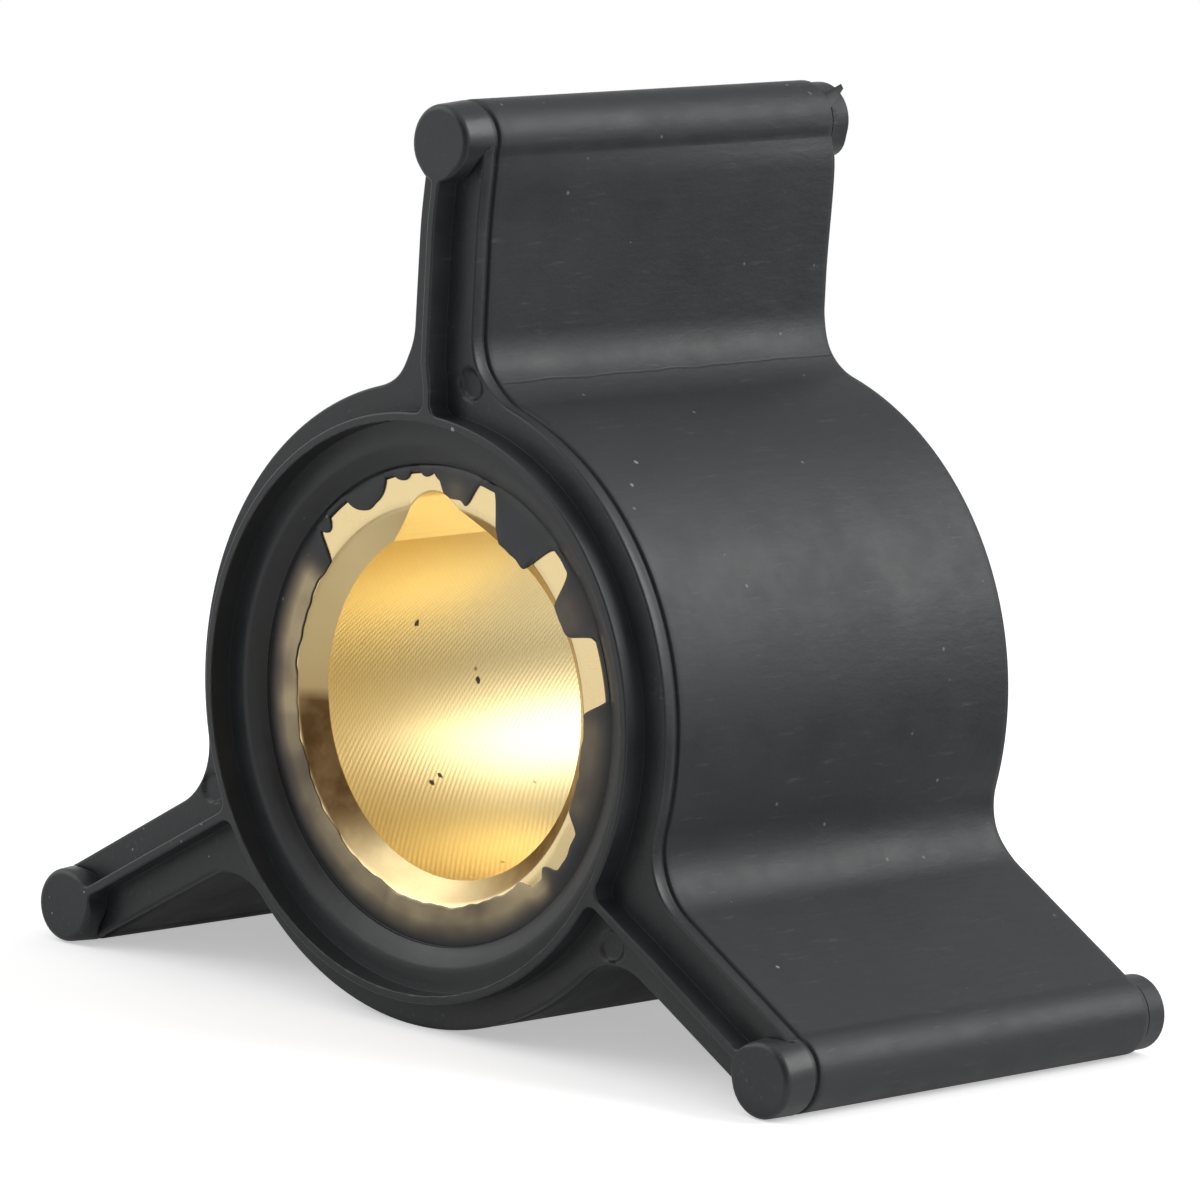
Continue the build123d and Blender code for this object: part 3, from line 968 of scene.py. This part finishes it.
def photo_camera():
    """Camera as fitted to the photograph: turned 43.4 degrees to the right, 9.2 up, rolled 2.9.

    Its focal length was found in pixels, as 8748 of the frame's 1200, and is turned into mm on the sensor.
    """
    azimuth, elevation, roll = (math.radians(angle) for angle in (43.376, 9.2008, 2.9453))
    level = math.cos(elevation)
    back = Vector((math.sin(azimuth) * level, -math.cos(azimuth) * level, math.sin(elevation)))
    right = Vector((math.cos(azimuth), math.sin(azimuth), 0))
    up = back.cross(right)
    right_rolled = right * math.cos(roll) + up * math.sin(roll)
    up_rolled = up * math.cos(roll) - right * math.sin(roll)
    distance, aside, rise, forward = 318.06, -0.1887, 3.0696, Vector((0, -0.08, 0))
    spot = (back * distance + right_rolled * aside + up_rolled * rise + forward) * MM
    camera = bpy.data.cameras.new("photo_camera")
    frame_pixels, focal_pixels = 1200, 8748
    camera.sensor_width = 36.0
    camera.lens = camera.sensor_width * focal_pixels / frame_pixels
    camera.clip_start, camera.clip_end = 0.01, 20.0
    holder = bpy.data.objects.new("photo_camera", camera)
    turn = Matrix((right_rolled, up_rolled, back)).transposed().to_4x4()
    holder.matrix_world = Matrix.Translation(spot) @ turn
    bpy.context.scene.collection.objects.link(holder)
    bpy.context.scene.camera = holder


studio_floor()
studio_world()
soft_light("window_light", (0.60, 0.56, 0.56), 0.5, 0.31, 0.31, 1.35)
soft_light("left_light", (-0.62, -0.55, 0.56), 0.5, 0.4, 0.4, 0.7)
room_side = Vector((0.43, -0.81, 0.40))
dark_card("room_card", room_side * 0.35, room_side, 0.50, 0.32, "#7a6654")
wall_side = Vector((-0.33, 0.72, 0.61))
dark_card("wall_card", wall_side * 0.35, wall_side, 0.26, 0.22, "#b0b0b0")
dark_card("counter_card", (0.09, -0.14, rubber_low[2] * MM + 0.0006), (0.0, 0.0, 1.0), 0.22, 0.24, "#c4c0b6")
dark_card("table_card", (0.125, 0.115, rubber_low[2] * MM + 0.0005), (0.0, 0.0, 1.0), 0.20, 0.21, "#606060")
photo_camera()
bpy.context.scene.view_settings.view_transform = "Standard"
